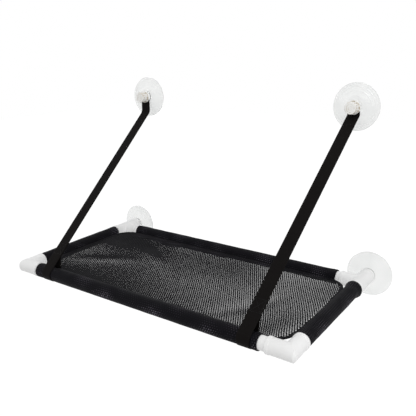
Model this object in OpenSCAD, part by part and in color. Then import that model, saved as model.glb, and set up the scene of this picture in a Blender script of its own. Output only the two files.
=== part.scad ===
// Window mounted cat perch: a net sling on a rectangular pipe frame. Two lower suction
// cups plug into the back corners of the frame, and two webbing straps run from the
// front tube up to two upper suction cups, where screw caps clamp them.
//
// +X runs along the window, +Y points into the glass and +Z points up. The origin lies
// on the glass, midway between the centres of the two lower suction cups.
// All lengths are in millimetres.

/* [Frame] */
// Distance between the centres of the two side tubes
frame_length = 539; // [430:1:700]
// Distance between the centres of the front and back tubes
frame_depth = 264; // [200:1:400]
// Outer diameter of the four tubes
tube_d = 21.3; // [18:0.1:24]
// Wall of the four tubes
tube_wall = 1.8; // [1.2:0.1:2.6]

/* [Fittings] */
// Centre of a fitting to the mouth of each of its arms
arm_length = 34; // [28:1:44]
// How far a tube goes into a fitting
socket_depth = 21; // [14:1:23]
// Wall of a fitting round its socket
fitting_wall = 1.7; // [1.2:0.1:3]
// How far the bead at a mouth stands proud
bead_height = 0.6; // [0.2:0.1:1.2]
// Length of the bead at a mouth
bead_length = 5; // [3:0.5:9]

/* [Sling] */
// Thickness of the doubled net round a tube
sleeve_t = 1.7; // [1:0.1:2.4]
// Thickness of the front sleeve where a strap's loop presses it flat
pressed_t = 0.5; // [0.3:0.1:1]
// How far the front sleeve has slipped along its tube
front_sleeve_shift = -4; // [-6:0.5:6]
// Width of the sewn hem between a sleeve and the net
hem_w = 5; // [4:0.5:10]
// Thickness of the sewn hem
hem_t = 2.2; // [1.6:0.1:3.2]
// Radius of the bound corners of the sling
corner_r = 34; // [26:1:36]
// Thickness of the single net
net_t = 1.2; // [0.8:0.1:2]
// How far the middle of the net hangs below its edges
net_sag = 8; // [6:1:40]
// Height of the soft folds across the net
fold_height = 1.6; // [0:0.1:3]
// Openings along the window that stand for the net's fine holes
net_gap_columns = 12; // [6:1:12]
// Openings across the depth
net_gap_rows = 6; // [3:1:8]
// Width of the net left between two openings
net_band_w = 9; // [5:0.5:12]

/* [Straps] */
// Width of the webbing
strap_w = 21.5; // [16:0.5:26]
// Thickness of the webbing
strap_t = 1.2; // [1:0.1:2.2]
// Centre of a side tube to the centre of a strap's loop
strap_inset = 66.5; // [62:0.5:150]
// How far the right strap hangs straight down from its screw cap before it slants
right_drop = 11; // [11:0.5:60]
// How far the left strap hangs straight down from its screw cap before it slants
left_drop = 23.5; // [11:0.5:60]
// Radius of the right strap's bend below its screw cap
right_bend_r = 4; // [3:0.5:20]
// Radius of the left strap's bend below its screw cap
left_bend_r = 14; // [3:0.5:20]
// From the loop's tangent point to where its two sides are sewn together
loop_length = 30; // [24:1:50]
// Length of the sewn tail above the loop
tail_length = 28; // [15:1:60]

/* [Suction cups] */
// Height of the upper cups above the lower ones
cup_rise = 288; // [220:1:400]
// Centre of a side tube to the centre of an upper cup, along the window
upper_cup_inset = 43.5; // [30:0.5:120]
// Diameter of a cup
cup_d = 80; // [64:1:100]
// Height of a cup from the glass to the top of its boss
cup_height = 10.7; // [9:0.1:16]
// Diameter of the boss
boss_d = 25; // [21:0.5:32]
// Thickness of the cup's lip
lip_t = 1.3; // [0.8:0.1:2]
// Depth of the hollow that holds the suction
hollow_depth = 3.4; // [2:0.1:3.8]
// Width of the lip that lies flat on the glass
lip_seat = 5; // [3:0.5:10]

/* [Screw caps] */
// Diameter of the flange that presses on the webbing
cap_flange_d = 23; // [20:0.5:30]
// Thickness of the flange
cap_flange_t = 3.4; // [2:0.1:6]
// Diameter of the grip
cap_grip_d = 20.6; // [17:0.1:26]
// Height of the whole cap
cap_height = 17.3; // [14:0.1:26]
// Number of flutes round the grip
cap_flutes = 14; // [8:1:20]
// Diameter of the stud that the cap screws on
stud_d = 8; // [6:0.5:10]

/* [Hidden] */
$fn = 72;

// Colours
white_plastic = [0.92, 0.92, 0.91];
clear_plastic = [0.88, 0.9, 0.9, 0.6];
amber_plastic = [0.9, 0.88, 0.78, 0.7];
black_fabric = [0.07, 0.07, 0.08];
grey_net = [0.22, 0.22, 0.23];
black_webbing = [0.05, 0.045, 0.045];

// Clearances
socket_gap = 0.05;
turn_gap = 0.06;
seat_gap = 0.2;
sleeve_gap = 0.35;
loop_gap = 0.3;
net_gap = 0.2;
tube_end_gap = 0.5;
long_sleeve_end_gap = 7;
short_sleeve_end_gap = 1;
slot_gap = 0.5;
overrun = 1;

// Frame
half_length = frame_length / 2;
strap_low_x = half_length - strap_inset;
upper_cup_x = half_length - upper_cup_inset;
tube_r = tube_d / 2;
tube_bore_r = tube_r - tube_wall;
socket_r = tube_r + socket_gap;
fitting_r = socket_r + fitting_wall;
bead_r = fitting_r + bead_height;
mouth_chamfer = 0.7;
elbow_step = 0.2;
elbow_corner_share = 1.2;
elbow_body_r = fitting_r + elbow_step;
elbow_corner_r = elbow_body_r * elbow_corner_share;
stop_depth = arm_length - socket_depth;
long_tube = frame_length - 2 * (stop_depth + tube_end_gap);
short_tube = frame_depth - 2 * (stop_depth + tube_end_gap);

// Plug that closes a tee and holds a lower cup
plug_flange_t = 2;
plug_flange_r = fitting_r + bead_height / 2;
plug_barrel_l = 17;
plug_wall = 2;
plug_web_t = 6;
plug_rib_l = 1.2;
plug_rib_pitch = 4;
plug_ribs = 3;
plug_relief = 0.4;

// Where the back and front tubes lie
back_y = -(cup_height + seat_gap + plug_flange_t + arm_length);
front_y = back_y - frame_depth;

// Suction cups
cup_r = cup_d / 2;
boss_r = boss_d / 2;
boss_fillet = 0.8;
boss_straight = 2.4;
cup_steps = 12;
lip_radius = cup_r - lip_seat;
neck_r = 5;
neck_head_r = 6.4;
neck_head_t = 2.4;
neck_lead = 0.8;

// Stud of an upper cup
stud_r = stud_d / 2;
stud_head_r = 7.5;
stud_head_t = 2;
stud_head_cover = 2.2;
stud_chamfer = 0.6;
stud_reach = 12;

// Screw cap
cap_base = cup_height + seat_gap + strap_t + seat_gap;
cap_flange_r = cap_flange_d / 2;
cap_grip_r = cap_grip_d / 2;
cap_edge = 0.6;
cap_waist = 0.8;
cap_waist_l = 1.6;
cap_dome = 1.8;
cap_dome_steps = 5;
flute_r = 1.5;
flute_depth = 0.7;
cap_bore_spare = 1.5;

// Sling
sleeve_bore_r = tube_r + sleeve_gap;
sleeve_r = sleeve_bore_r + sleeve_t;
pressed_r = sleeve_bore_r + pressed_t;
press_ramp = 3;
long_sleeve = frame_length - 2 * (arm_length + long_sleeve_end_gap);
short_sleeve = frame_depth - 2 * (arm_length + short_sleeve_end_gap);
seam_gap = 1;
seam_x = half_length - sleeve_r - seam_gap;
seam_y = frame_depth / 2 - sleeve_r - seam_gap;
hem_inner = hem_w + net_gap;
net_x = seam_x - hem_inner;
net_y = seam_y - hem_inner;
net_corner = corner_r - hem_inner;
middle_y = front_y + frame_depth / 2;
net_pitch_x = (2 * net_x - net_band_w) / net_gap_columns;
net_pitch_y = (2 * net_y - net_band_w) / net_gap_rows;
sag_x_power = 3.2;
sag_y_power = 2.2;

// Soft folds: where each crosses the net, as shares of its half sizes, and its heading
fold_share = [[-0.72, -0.2], [-0.45, 0.35], [0.62, -0.3]];
fold_heading = [35, -25, 60];
fold_width = 16;
fold_length = 60;

// Straps
loop_r = pressed_r + loop_gap + strap_t / 2;
strap_y = -(cup_height + seat_gap + strap_t / 2);
tip_share = 0.42;
tip_r = strap_w * tip_share;
taper_share = 1.2;
taper_z = cup_rise - taper_share * tip_r;
strap_hole_r = stud_r + slot_gap;
loop_steps = 54;
bend_steps = 6;
tip_steps = 18;

// The straight run leaves the loop at this angle above level. Each step aims the run
// from the loop's tangent to the foot of the bend that the last angle gives.
run_start_angle = 45;
run_angle_steps = 8;
function bend_foot(angle, drop, bend_r) = [
    strap_y - bend_r * (1 - sin(angle)) - front_y,
    cup_rise - drop - bend_r * cos(angle)
];
function run_angle(angle, drop, bend_r, steps) =
    let (foot = bend_foot(angle, drop, bend_r))
    steps == 0 ? angle
        : run_angle(atan2(foot[1], foot[0]) - asin(loop_r / norm(foot)),
            drop, bend_r, steps - 1);
function run_tilt(drop, bend_r) = run_angle(run_start_angle, drop, bend_r, run_angle_steps);

// The loop's second side leaves the tube at this angle from the run and meets it there
seam_angle = atan2(loop_r, loop_length);
second_tangent = 2 * seam_angle - 90;

// Extrudes a profile drawn in Y and Z along X, about the middle
module along_x(length) {
    rotate([90, 0, 90])
        translate([0, 0, -length / 2])
            linear_extrude(length)
                children();
}

// Extrudes a profile drawn in X and Z along Y, about the middle
module along_y(length) {
    rotate([90, 0, 0])
        translate([0, 0, -length / 2])
            linear_extrude(length)
                children();
}

// Stands a shape that is drawn upright on the glass, facing the room
module on_glass(x, z) {
    translate([x, 0, z])
        rotate([90, 0, 0])
            children();
}

module left_side() {
    mirror([1, 0, 0])
        children();
}

// Frame tubes
module ring(outer, inner) {
    difference() {
        circle(outer);
        circle(inner);
    }
}

module long_tube_at(y) {
    color(white_plastic)
        translate([0, y, 0])
            along_x(long_tube)
                ring(tube_r, tube_bore_r);
}

module side_tube() {
    color(white_plastic)
        translate([half_length, middle_y, 0])
            along_y(short_tube)
                ring(tube_r, tube_bore_r);
}

// Fittings. An arm points up +Z from the fitting's centre.
module arm_outside() {
    rotate_extrude()
        polygon([
            [0, 0],
            [fitting_r, 0],
            [fitting_r, arm_length - bead_length - bead_height],
            [bead_r, arm_length - bead_length],
            [bead_r, arm_length - mouth_chamfer],
            [bead_r - mouth_chamfer, arm_length],
            [0, arm_length]
        ]);
}

module arm_inside() {
    cylinder(h = arm_length + overrun, r = tube_bore_r);
    translate([0, 0, stop_depth])
        cylinder(h = socket_depth + overrun, r = socket_r);
}

// Turns an arm from +Z to the four directions that the fittings need
module towards_middle() {
    rotate([0, -90, 0])
        children();
}

module towards_glass() {
    rotate([-90, 0, 0])
        children();
}

module towards_room() {
    rotate([90, 0, 0])
        children();
}

// The outer corner of an elbow: its two arms run on into a softened mitre
module elbow_corner() {
    intersection() {
        along_x(2 * elbow_corner_r)
            circle(elbow_body_r);
        along_y(2 * elbow_corner_r)
            circle(elbow_body_r);
        sphere(elbow_corner_r);
    }
}

module elbow() {
    color(white_plastic)
        translate([half_length, front_y, 0])
            difference() {
                union() {
                    elbow_corner();
                    towards_middle() arm_outside();
                    towards_glass() arm_outside();
                }
                sphere(tube_bore_r);
                towards_middle() arm_inside();
                towards_glass() arm_inside();
            }
}

module tee() {
    color(white_plastic)
        translate([half_length, back_y, 0])
            difference() {
                union() {
                    towards_middle() arm_outside();
                    towards_glass() arm_outside();
                    towards_room() arm_outside();
                }
                towards_middle() arm_inside();
                towards_glass() arm_inside();
                towards_room() arm_inside();
            }
}

// Plug in the tee's back arm, drawn from the glass outward
module socket_plug() {
    flange_z = cup_height + seat_gap;
    barrel_z = flange_z + plug_flange_t;
    barrel_r = socket_r - socket_gap;
    bore_r = neck_r + turn_gap;
    color(white_plastic)
        on_glass(half_length, 0)
            difference() {
                union() {
                    translate([0, 0, flange_z])
                        cylinder(h = plug_flange_t, r = plug_flange_r);
                    translate([0, 0, flange_z])
                        cylinder(h = plug_flange_t + plug_barrel_l, r = barrel_r - plug_relief);
                    for (i = [0 : plug_ribs - 1])
                        translate([0, 0, barrel_z + (i + 0.5) * plug_rib_pitch])
                            cylinder(h = plug_rib_l, r = barrel_r);
                }
                translate([0, 0, flange_z - overrun])
                    cylinder(h = plug_flange_t + plug_web_t + 2 * overrun, r = bore_r);
                translate([0, 0, flange_z + plug_web_t])
                    cylinder(h = plug_flange_t + plug_barrel_l, r = barrel_r - plug_relief - plug_wall);
            }
}

// Suction cup, drawn from the glass outward. The shell rises from a lip that lies
// flat on the glass to the boss in an S-shaped curve.
function shell_height(share) =
    lip_t + (cup_height - boss_straight - lip_t) * (1 + cos(180 * share)) / 2;
function hollow_height(share) =
    hollow_depth * (1 + cos(180 * share)) / 2;

module cup_body() {
    rotate_extrude()
        polygon(concat(
            [[0, hollow_depth]],
            [for (i = [1 : cup_steps])
                let (share = i / cup_steps)
                [lip_radius * share, hollow_height(share)]],
            [[cup_r, 0]],
            [for (i = [cup_steps : -1 : 0])
                let (share = i / cup_steps)
                [boss_r + (cup_r - boss_r) * share, shell_height(share)]],
            [
                [boss_r, cup_height - boss_fillet],
                [boss_r - boss_fillet, cup_height],
                [0, cup_height]
            ]
        ));
}

module lower_cup() {
    neck_end = cup_height + seat_gap + plug_web_t + seat_gap;
    color(clear_plastic)
        on_glass(half_length, 0) {
            cup_body();
            cylinder_from_boss(neck_r, neck_end);
            translate([0, 0, neck_end])
                cylinder(h = neck_head_t, r1 = neck_head_r, r2 = neck_head_r - neck_lead);
        }
}

// A neck that starts inside the boss and ends at the height given
module cylinder_from_boss(radius, top) {
    start = cup_height - boss_straight;
    translate([0, 0, start])
        cylinder(h = top - start, r = radius);
}

module stud_shape(gap) {
    head_z = cup_height - stud_head_cover - stud_head_t;
    translate([0, 0, head_z - gap])
        cylinder(h = stud_head_t + 2 * gap, r = stud_head_r + gap);
    translate([0, 0, head_z])
        cylinder(h = cap_base + stud_reach - stud_chamfer - head_z, r = stud_r + gap);
}

module upper_cup() {
    color(clear_plastic)
        on_glass(upper_cup_x, cup_rise)
            difference() {
                cup_body();
                stud_shape(socket_gap);
            }
}

module upper_stud() {
    color(amber_plastic)
        on_glass(upper_cup_x, cup_rise) {
            stud_shape(0);
            translate([0, 0, cap_base + stud_reach - stud_chamfer])
                cylinder(h = stud_chamfer, r1 = stud_r, r2 = stud_r - stud_chamfer);
        }
}

// Screw cap: a flange, a waist and a fluted grip with a domed end
module screw_cap() {
    grip_z = cap_flange_t + cap_waist_l;
    dome_z = cap_height - cap_dome;
    color(amber_plastic)
        on_glass(upper_cup_x, cup_rise)
            translate([0, 0, cap_base])
                difference() {
                    rotate_extrude()
                        polygon(concat(
                            [
                                [0, 0],
                                [cap_flange_r - cap_edge, 0],
                                [cap_flange_r, cap_edge],
                                [cap_flange_r, cap_flange_t - cap_edge],
                                [cap_flange_r - cap_edge, cap_flange_t],
                                [cap_grip_r - cap_waist, cap_flange_t],
                                [cap_grip_r - cap_waist, grip_z],
                                [cap_grip_r, grip_z + cap_waist]
                            ],
                            [for (i = [0 : cap_dome_steps])
                                let (turn = 90 * i / cap_dome_steps)
                                [
                                    cap_grip_r - cap_dome + cap_dome * cos(turn),
                                    dome_z + cap_dome * sin(turn)
                                ]],
                            [[0, cap_height]]
                        ));
                    for (i = [0 : cap_flutes - 1])
                        rotate([0, 0, 360 * i / cap_flutes])
                            translate([cap_grip_r + flute_r - flute_depth, 0, grip_z])
                                cylinder(h = cap_height, r = flute_r);
                    translate([0, 0, -overrun])
                        cylinder(h = stud_reach + cap_bore_spare + overrun, r = stud_r + turn_gap);
                }
}

// Sling. A sleeve is a sewn tube with its hem on the side of the net.
module sleeve_outline() {
    ring(sleeve_r, sleeve_bore_r);
}

module hem_outline() {
    difference() {
        translate([0, -hem_t / 2])
            square([sleeve_r + seam_gap + hem_w, hem_t]);
        circle(sleeve_bore_r);
    }
}

module long_sleeve_shape(shift) {
    translate([shift, 0, 0])
        along_x(long_sleeve)
            sleeve_outline();
    along_x(2 * (seam_x - corner_r))
        hem_outline();
}

// Where a strap's loop lies: a waist in the sleeve that runs on through the hem
module loop_waist() {
    half_w = strap_w / 2 + slot_gap;
    slot_r = max(sleeve_r, loop_outer_r) + slot_gap;
    rotate([0, 90, 0])
        difference() {
            translate([0, 0, -half_w - press_ramp])
                cylinder(h = 2 * (half_w + press_ramp), r = slot_r);
            rotate_extrude()
                polygon([
                    [0, -half_w - press_ramp - overrun],
                    [sleeve_r, -half_w - press_ramp - overrun],
                    [sleeve_r, -half_w - press_ramp],
                    [pressed_r, -half_w],
                    [pressed_r, half_w],
                    [sleeve_r, half_w + press_ramp],
                    [sleeve_r, half_w + press_ramp + overrun],
                    [0, half_w + press_ramp + overrun]
                ]);
        }
}

module front_sleeve() {
    color(black_fabric)
        translate([0, front_y, 0])
            difference() {
                long_sleeve_shape(front_sleeve_shift);
                for (x = [-strap_low_x, strap_low_x])
                    translate([x, 0, 0])
                        loop_waist();
            }
}

module back_sleeve() {
    color(black_fabric)
        translate([0, back_y, 0])
            mirror([0, 1, 0])
                long_sleeve_shape(0);
}

module side_sleeve() {
    color(black_fabric)
        translate([half_length, middle_y, 0])
            mirror([1, 0, 0]) {
                along_y(short_sleeve)
                    sleeve_outline();
                along_y(2 * (seam_y - corner_r))
                    hem_outline();
            }
}

// Binding tape round the four cut corners of the net
module corner_binding() {
    translate([seam_x - corner_r, seam_y - corner_r, -hem_t / 2])
        rotate_extrude(angle = 90)
            translate([corner_r - hem_w, 0])
                square([hem_w, hem_t]);
}

module corner_bindings() {
    color(black_fabric)
        translate([0, middle_y, 0])
            for (mx = [0, 1], my = [0, 1])
                mirror([mx, 0, 0])
                    mirror([0, my, 0])
                        corner_binding();
}

// The net hangs from its hem: a rounded rectangle of crossing bands with openings
// between them. The outer rows are split again, where the corners round them, at these
// shares of a band or of an opening.
first_band_share = [0, 0.25];
last_band_share = [0, 0.75];
first_gap_share = [0, 0.3, 0.65];
last_gap_share = [0, 0.35, 0.7];

// Lines across the net: where each lies, and whether openings start at it
net_row = concat(
    [for (k = [0 : net_gap_rows])
        let (
            start = k * net_pitch_y - net_y,
            gap_start = start + net_band_w,
            gap = net_pitch_y - net_band_w,
            band_share = k == 0 ? first_band_share : k == net_gap_rows ? last_band_share : [0],
            gap_share = k == 0 ? first_gap_share
                : k == net_gap_rows - 1 ? last_gap_share
                : k == net_gap_rows ? [] : [0]
        )
        each concat(
            [for (share = band_share) [start + share * net_band_w, false]],
            [for (share = gap_share) [gap_start + share * gap, true]]
        )],
    [[net_y, false]]
);
net_column = concat(
    [for (k = [0 : net_gap_columns - 1])
        let (start = k * net_pitch_x - net_x)
        each [[start, false], [start + net_band_w, true]]],
    [[net_x - net_band_w, false], [net_x, false]]
);

function net_half_width(y) =
    let (past = max(0, abs(y) - (net_y - net_corner)))
    net_x - net_corner + sqrt(max(0, pow(net_corner, 2) - pow(past, 2)));

// The last two openings of a row draw in together where a corner rounds it
net_straight_x = net_x - 2 * net_pitch_x;
function drawn_in(x, y) =
    let (past = max(0, abs(x) - net_straight_x))
    sign(x) * (min(abs(x), net_straight_x)
        + past * (net_half_width(y) - net_straight_x) / (net_x - net_straight_x));

function fold_at(x, y, i) =
    let (
        dx = x - fold_share[i][0] * net_x,
        dy = y - fold_share[i][1] * net_y,
        across = dx * sin(fold_heading[i]) - dy * cos(fold_heading[i]),
        along = dx * cos(fold_heading[i]) + dy * sin(fold_heading[i])
    )
    exp(-pow(across / fold_width, 2) - pow(along / fold_length, 2));
function net_hang(x, y) =
    (1 - pow(abs(x) / net_x, sag_x_power)) * (1 - pow(abs(y) / net_y, sag_y_power));
function net_z(x, y) =
    let (hang = net_hang(x, y))
    -net_sag * hang
        + fold_height * min(1, 3 * hang) * (fold_at(x, y, 0) + fold_at(x, y, 1) - fold_at(x, y, 2));

net_rows = len(net_row) - 1;
net_columns = len(net_column) - 1;
function net_filled(j, i) =
    j >= 0 && j < net_rows && i >= 0 && i < net_columns
        && !(net_row[j][1] && net_column[i][1]);

module mesh_panel() {
    stride = net_columns + 1;
    sheet = stride * (net_rows + 1);
    points = [for (side = [1, -1], row = net_row, column = net_column)
        let (x = drawn_in(column[0], row[0]))
        [x, row[0], net_z(x, row[0]) + side * net_t / 2]];
    filled = [for (j = [0 : net_rows - 1], i = [0 : net_columns - 1]) if (net_filled(j, i)) [j, i]];
    top = [for (cell = filled)
        let (a = cell[0] * stride + cell[1])
        each [[a, a + stride, a + stride + 1], [a, a + stride + 1, a + 1]]];
    bottom = [for (f = top) [f[2] + sheet, f[1] + sheet, f[0] + sheet]];
    rim = [for (cell = filled)
        let (
            j = cell[0],
            i = cell[1],
            a = j * stride + i,
            corners = [a, a + 1, a + stride + 1, a + stride],
            beside = [[j - 1, i], [j, i + 1], [j + 1, i], [j, i - 1]]
        )
        for (k = [0 : 3])
            if (!net_filled(beside[k][0], beside[k][1]))
                [corners[k], corners[(k + 1) % 4]]];
    edge = [for (r = rim)
        each [[r[0], r[1], r[1] + sheet], [r[0], r[1] + sheet, r[0] + sheet]]];
    color(grey_net)
        translate([0, middle_y, 0])
            polyhedron(points, concat(top, bottom, edge));
}

// Side view of a strap in Y and Z. In the loop's own view the run goes along the first
// axis at a height of loop_r, and this turns that view into place.
function in_place(p, tilt) = [
    front_y + p[0] * cos(tilt) - p[1] * sin(tilt),
    p[0] * sin(tilt) + p[1] * cos(tilt)
];
function arc(radius, from, to, steps) =
    [for (i = [0 : steps])
        let (turn = from + (to - from) * i / steps)
        [radius * cos(turn), radius * sin(turn)]];
function bend(radius, from, to, drop, bend_r) =
    [for (p = arc(radius, from, to, bend_steps))
        [strap_y - bend_r + p[0], cup_rise - drop + p[1]]];

loop_outer_r = loop_r + strap_t / 2;
loop_inner_r = loop_r - strap_t / 2;
tail_z = loop_inner_r - strap_t;
tail_end = loop_length + tail_length;

// Where the loop's second side meets the underside of the tail
second_reach =
    (tail_z - loop_outer_r * sin(second_tangent)) / sin(2 * seam_angle);
second_meets = loop_outer_r * cos(second_tangent) + second_reach * cos(2 * seam_angle);

loop_outline = concat(
    arc(loop_outer_r, 90, 360 + second_tangent, loop_steps),
    [[second_meets, tail_z], [tail_end, tail_z], [tail_end, loop_inner_r]]
);
loop_hole = concat(
    arc(loop_inner_r, 90, 360 + second_tangent, loop_steps),
    [[loop_inner_r / tan(seam_angle), loop_inner_r]]
);
function strap_side(drop, bend_r, tilt) = concat(
    [for (p = loop_outline) in_place(p, tilt)],
    bend(bend_r + strap_t / 2, tilt - 90, 0, drop, bend_r),
    [
        [strap_y + strap_t / 2, cup_rise + tip_r + overrun],
        [strap_y - strap_t / 2, cup_rise + tip_r + overrun]
    ],
    bend(bend_r - strap_t / 2, 0, tilt - 90, drop, bend_r)
);

// Front view of a strap in X and Z: straight at the loop, then aslant, then upright to
// the rounded tip that the stud goes through
function strap_edge(side, drop, tilt) = [
    [strap_low_x + side * strap_w / 2, -loop_outer_r - overrun],
    [strap_low_x + side * strap_w / 2, loop_r * cos(tilt)],
    [upper_cup_x + side * strap_w / 2, cup_rise - drop]
];
function strap_front(drop, tilt) =
    let (left = strap_edge(-1, drop, tilt), right = strap_edge(1, drop, tilt))
    concat(
        right,
        [[upper_cup_x + strap_w / 2, taper_z]],
        [for (p = arc(tip_r, 0, 180, tip_steps)) [upper_cup_x + p[0], cup_rise + p[1]]],
        [[upper_cup_x - strap_w / 2, taper_z]],
        [for (i = [len(left) - 1 : -1 : 0]) left[i]]
    );

module strap(drop, bend_r) {
    tilt = run_tilt(drop, bend_r);
    width = 2 * (upper_cup_x + strap_w);
    depth = 2 * (loop_outer_r - front_y + overrun);
    color(black_webbing)
        difference() {
            intersection() {
                along_x(width)
                    polygon(strap_side(drop, bend_r, tilt));
                along_y(depth)
                    polygon(strap_front(drop, tilt));
            }
            along_x(width)
                polygon([for (p = loop_hole) in_place(p, tilt)]);
            on_glass(upper_cup_x, cup_rise)
                cylinder(h = cup_height + 2 * strap_t, r = strap_hole_r);
        }
}

long_tube_at(front_y);  // front_tube
long_tube_at(back_y);  // back_tube
left_side() side_tube();  // left_side_tube
side_tube();  // right_side_tube
left_side() elbow();  // front_left_elbow
elbow();  // front_right_elbow
left_side() tee();  // back_left_tee
tee();  // back_right_tee
left_side() socket_plug();  // left_socket_plug
socket_plug();  // right_socket_plug
mesh_panel();
front_sleeve();
back_sleeve();
left_side() side_sleeve();  // left_sleeve
side_sleeve();  // right_sleeve
corner_bindings();
left_side() strap(left_drop, left_bend_r);  // left_strap
strap(right_drop, right_bend_r);  // right_strap
left_side() upper_cup();  // upper_left_cup
upper_cup();  // upper_right_cup
left_side() upper_stud();  // upper_left_stud
upper_stud();  // upper_right_stud
left_side() screw_cap();  // left_screw_cap
screw_cap();  // right_screw_cap
left_side() lower_cup();  // lower_left_cup
lower_cup();  // lower_right_cup
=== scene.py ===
# Window mounted cat perch: the looks of its pipe frame, net sling, webbing straps and
# suction cups. Lengths are in metres, or in millimetres where a comment says so.
from math import asin, atan2, ceil, cos, hypot, pi, radians, sin

import bpy
import numpy as np
from mathutils import Matrix, Vector


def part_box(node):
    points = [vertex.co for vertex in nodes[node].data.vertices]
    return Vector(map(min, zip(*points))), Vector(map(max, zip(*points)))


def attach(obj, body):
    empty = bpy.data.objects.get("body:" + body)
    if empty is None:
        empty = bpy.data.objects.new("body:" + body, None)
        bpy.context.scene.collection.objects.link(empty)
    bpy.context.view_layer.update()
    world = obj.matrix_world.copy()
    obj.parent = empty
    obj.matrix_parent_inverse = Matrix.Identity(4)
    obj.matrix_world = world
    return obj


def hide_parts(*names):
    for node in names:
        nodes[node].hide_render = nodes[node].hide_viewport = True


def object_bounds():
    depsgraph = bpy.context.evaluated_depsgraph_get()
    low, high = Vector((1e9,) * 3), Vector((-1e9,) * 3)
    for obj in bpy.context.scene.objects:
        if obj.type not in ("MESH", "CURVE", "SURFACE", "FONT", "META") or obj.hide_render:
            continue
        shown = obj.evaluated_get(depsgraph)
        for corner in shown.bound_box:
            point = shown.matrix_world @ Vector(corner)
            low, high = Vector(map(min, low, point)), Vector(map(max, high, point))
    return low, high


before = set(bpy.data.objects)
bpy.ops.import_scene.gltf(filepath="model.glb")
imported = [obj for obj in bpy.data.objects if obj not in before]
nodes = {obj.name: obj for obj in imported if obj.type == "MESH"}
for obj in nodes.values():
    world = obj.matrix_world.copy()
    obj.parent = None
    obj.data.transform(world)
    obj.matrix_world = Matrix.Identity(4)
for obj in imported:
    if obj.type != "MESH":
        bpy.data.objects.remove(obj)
cad_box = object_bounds()
MM = 0.001

# Where the CAD frame stands
front_low, front_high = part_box("front_tube")
back_low, back_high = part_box("back_tube")
side_low, side_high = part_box("right_side_tube")
FRONT_Y = (front_low.y + front_high.y) / 2
BACK_Y = (back_low.y + back_high.y) / 2
MIDDLE_Y = (FRONT_Y + BACK_Y) / 2
SIDE_X = (side_low.x + side_high.x) / 2
net_low, net_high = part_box("mesh_panel")
NET_X = net_high.x
NET_Y = (net_high.y - net_low.y) / 2
NET_CORNER = 28.8 * MM
SLEEVE_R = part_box("front_sleeve")[1].z
UP = Vector((0, 0, 1))

# Hems, measured from the axis of the tube inside, with slots for the straps' loops
HEM_EDGE = 18.7 * MM
HEM_T = 2.2 * MM
LONG_HEM_HALF = 221.8 * MM
SHORT_HEM_HALF = 84.3 * MM
SLOT_HALF = 11.25 * MM
SLOT_END = 13.5 * MM

# The front sleeve where a strap's loop presses it in
PRESSED_R = 11.5 * MM
PRESS_RAMP = 3 * MM

# Straps. Each has its side, how far below its cup's middle it turns upright, and that bend's radius.
STRAP_W = 21.5 * MM
STRAP_T = 1.2 * MM
STRAP_LOW_X = SIDE_X - 66.5 * MM
UPPER_CUP_X = SIDE_X - 43.5 * MM
CUP_RISE = 288 * MM
STRAP_Y = -11.5 * MM
STRAP_SIDES = {
    "right_strap": (1, 11 * MM, 4 * MM),
    "left_strap": (-1, 23.5 * MM, 14 * MM),
}
LOOP_GAP = 0.3 * MM
LOOP_LENGTH = 30 * MM
TAIL_LENGTH = 28 * MM
TIP_R = 0.42 * STRAP_W


# Shader groups
def new_group(name, inputs, outputs):
    group = bpy.data.node_groups.new(name, "ShaderNodeTree")
    for title, kind, value in inputs:
        socket = group.interface.new_socket(title, in_out="INPUT", socket_type=kind)
        if value is not None:
            socket.default_value = value
    for title, kind in outputs:
        group.interface.new_socket(title, in_out="OUTPUT", socket_type=kind)
    return group, group.nodes.new("NodeGroupInput"), group.nodes.new("NodeGroupOutput")


def put(tree, kind, inputs=None, **settings):
    """Adds a node. An input is a plain value, or another node's output."""
    node = tree.nodes.new(kind)
    for key, value in settings.items():
        setattr(node, key, value)
    for key, value in (inputs or {}).items():
        if isinstance(value, bpy.types.NodeSocket):
            tree.links.new(value, node.inputs[key])
        else:
            node.inputs[key].default_value = value
    return node


def calculate(tree, operation, *values):
    """A Math node's result."""
    node = put(tree, "ShaderNodeMath", dict(enumerate(values)), operation=operation)
    return node.outputs[0]


def times(tree, a, b):
    return calculate(tree, "MULTIPLY", a, b)


def spread(tree, value, low, high, to_low, to_high):
    """Maps low..high to to_low..to_high, and stops at both ends."""
    inputs = {"Value": value, "From Min": low, "From Max": high, "To Min": to_low, "To Max": to_high}
    return put(tree, "ShaderNodeMapRange", inputs).outputs["Result"]


def make_ribs():
    """Ribs across a woven tape with fine ends along it. The vector is along and across, in metres. Shade is
    lighter on the ribs' tops and darker between them, painted shade in the grooves, with a fuzz of random
    tone.
    """
    inputs = [
        ("Vector", "NodeSocketVector", None),
        ("Rib Pitch", "NodeSocketFloat", 0.0013),
        ("End Pitch", "NodeSocketFloat", 0.0009),
    ]
    outputs = [("Height", "NodeSocketFloat"), ("Shade", "NodeSocketFloat")]
    group, start, end = new_group("woven_ribs", inputs, outputs)
    place = put(group, "ShaderNodeSeparateXYZ", {"Vector": start.outputs["Vector"]})
    rib = calculate(group, "DIVIDE", place.outputs["X"], start.outputs["Rib Pitch"])
    ends = calculate(group, "DIVIDE", place.outputs["Y"], start.outputs["End Pitch"])
    rib_wave = calculate(group, "SINE", times(group, rib, 2 * pi))
    shifted = calculate(group, "ADD", ends, times(group, rib, 0.5))
    end_wave = calculate(group, "SINE", times(group, shifted, 2 * pi))
    both = calculate(group, "MULTIPLY_ADD", end_wave, 0.45, rib_wave)
    height = spread(group, both, -1.45, 1.45, 0, 1)
    fuzz = put(group, "ShaderNodeTexNoise", {"Vector": start.outputs["Vector"], "Scale": 900, "Detail": 2})
    shade = calculate(group, "MULTIPLY_ADD", height, 0.6, times(group, fuzz.outputs["Fac"], 0.4))
    group.links.new(height, end.inputs["Height"])
    group.links.new(shade, end.inputs["Shade"])
    return group


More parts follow.
